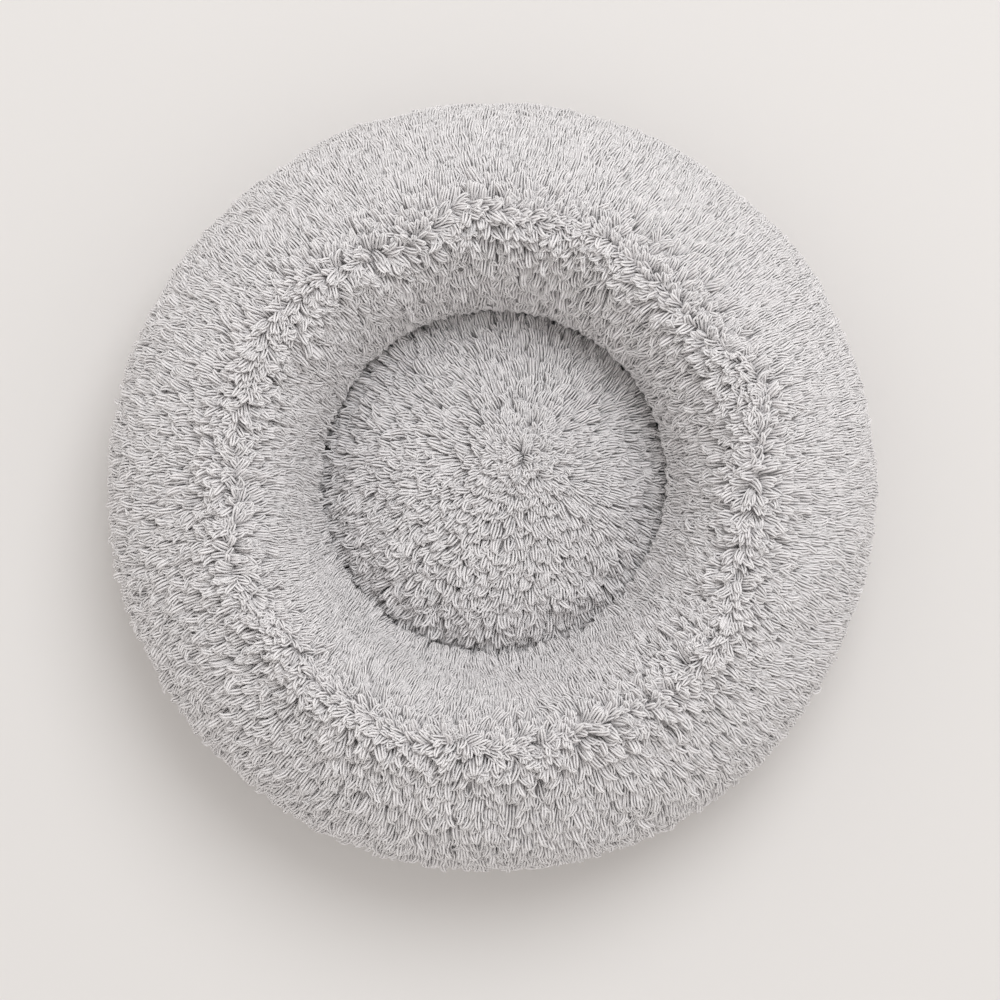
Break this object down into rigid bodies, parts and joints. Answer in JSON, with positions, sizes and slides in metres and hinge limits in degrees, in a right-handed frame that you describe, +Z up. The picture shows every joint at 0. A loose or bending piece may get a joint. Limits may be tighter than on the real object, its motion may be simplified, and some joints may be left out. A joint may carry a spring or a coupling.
{
  "type": "pet cushion bed",
  "caption": "Round pet bed: a fat plush rim round a well, a loose crowned seat cushion that lifts out, and a zipped non-slip base.",
  "frame": {"origin": "middle of the underside, on the surface the bed stands on", "axes": "+Z up out of the well; +X along the zip from its closed end to its open end; +Y to the rear half of the base"},
  "size_m": [0.6, 0.6, 0.18],
  "materials": {
    "plush_outer": "long pile, matt with a soft sheen",
    "plush_inner": "long pile, matt with a soft sheen",
    "plush_seat": "long pile, matt with a soft sheen",
    "lining_cloth": "plain woven, matt",
    "base_cloth": "plain woven with raised grip dots, matt",
    "binding_tape": "ribbed woven tape, matt",
    "bag_cloth": "bonded, matt",
    "fibre_fill": "loose fibre, matt",
    "zip_tape": "twill tape, matt",
    "zip_coil": "satin",
    "zip_metal": "satin",
    "label_cloth": "satin ribbon, blank"
  },
  "bodies": {
    "bed": {"outer_wall_panel": "plush_outer", "inner_wall_panel": "plush_inner", "well_floor_panel": "lining_cloth", "bolster_liner": "bag_cloth", "bolster_filling": "fibre_fill", "base_panel_front": "base_cloth", "base_panel_rear": "base_cloth", "base_binding": "binding_tape", "zip_tape_front": "zip_tape", "zip_tape_rear": "zip_tape", "zip_coil_front": "zip_coil", "zip_coil_rear": "zip_coil", "zip_top_stops": "zip_metal", "zip_bottom_stop": "zip_metal", "care_label": "label_cloth"},
    "seat": {"seat_top_cover": "plush_seat", "seat_bottom_cover": "lining_cloth", "seat_liner": "bag_cloth", "seat_filling": "fibre_fill"},
    "slider": {"zip_slider": "zip_metal"},
    "pull": {"zip_pull": "zip_metal"}
  },
  "joints": [
    {"name": "seat_lift", "type": "slide", "parent": "bed", "child": "seat", "axis": [0, 0, 1], "range_m": [0, 0.22]},
    {"name": "zip_travel", "type": "slide", "parent": "bed", "child": "slider", "axis": [1, 0, 0], "range_m": [0, 0.236]},
    {"name": "zip_pull_swing", "type": "hinge", "parent": "slider", "child": "pull", "pos_m": [-0.118, 0, 0.006], "axis": [0, 1, 0], "range_deg": [0, 180]}
  ]
}
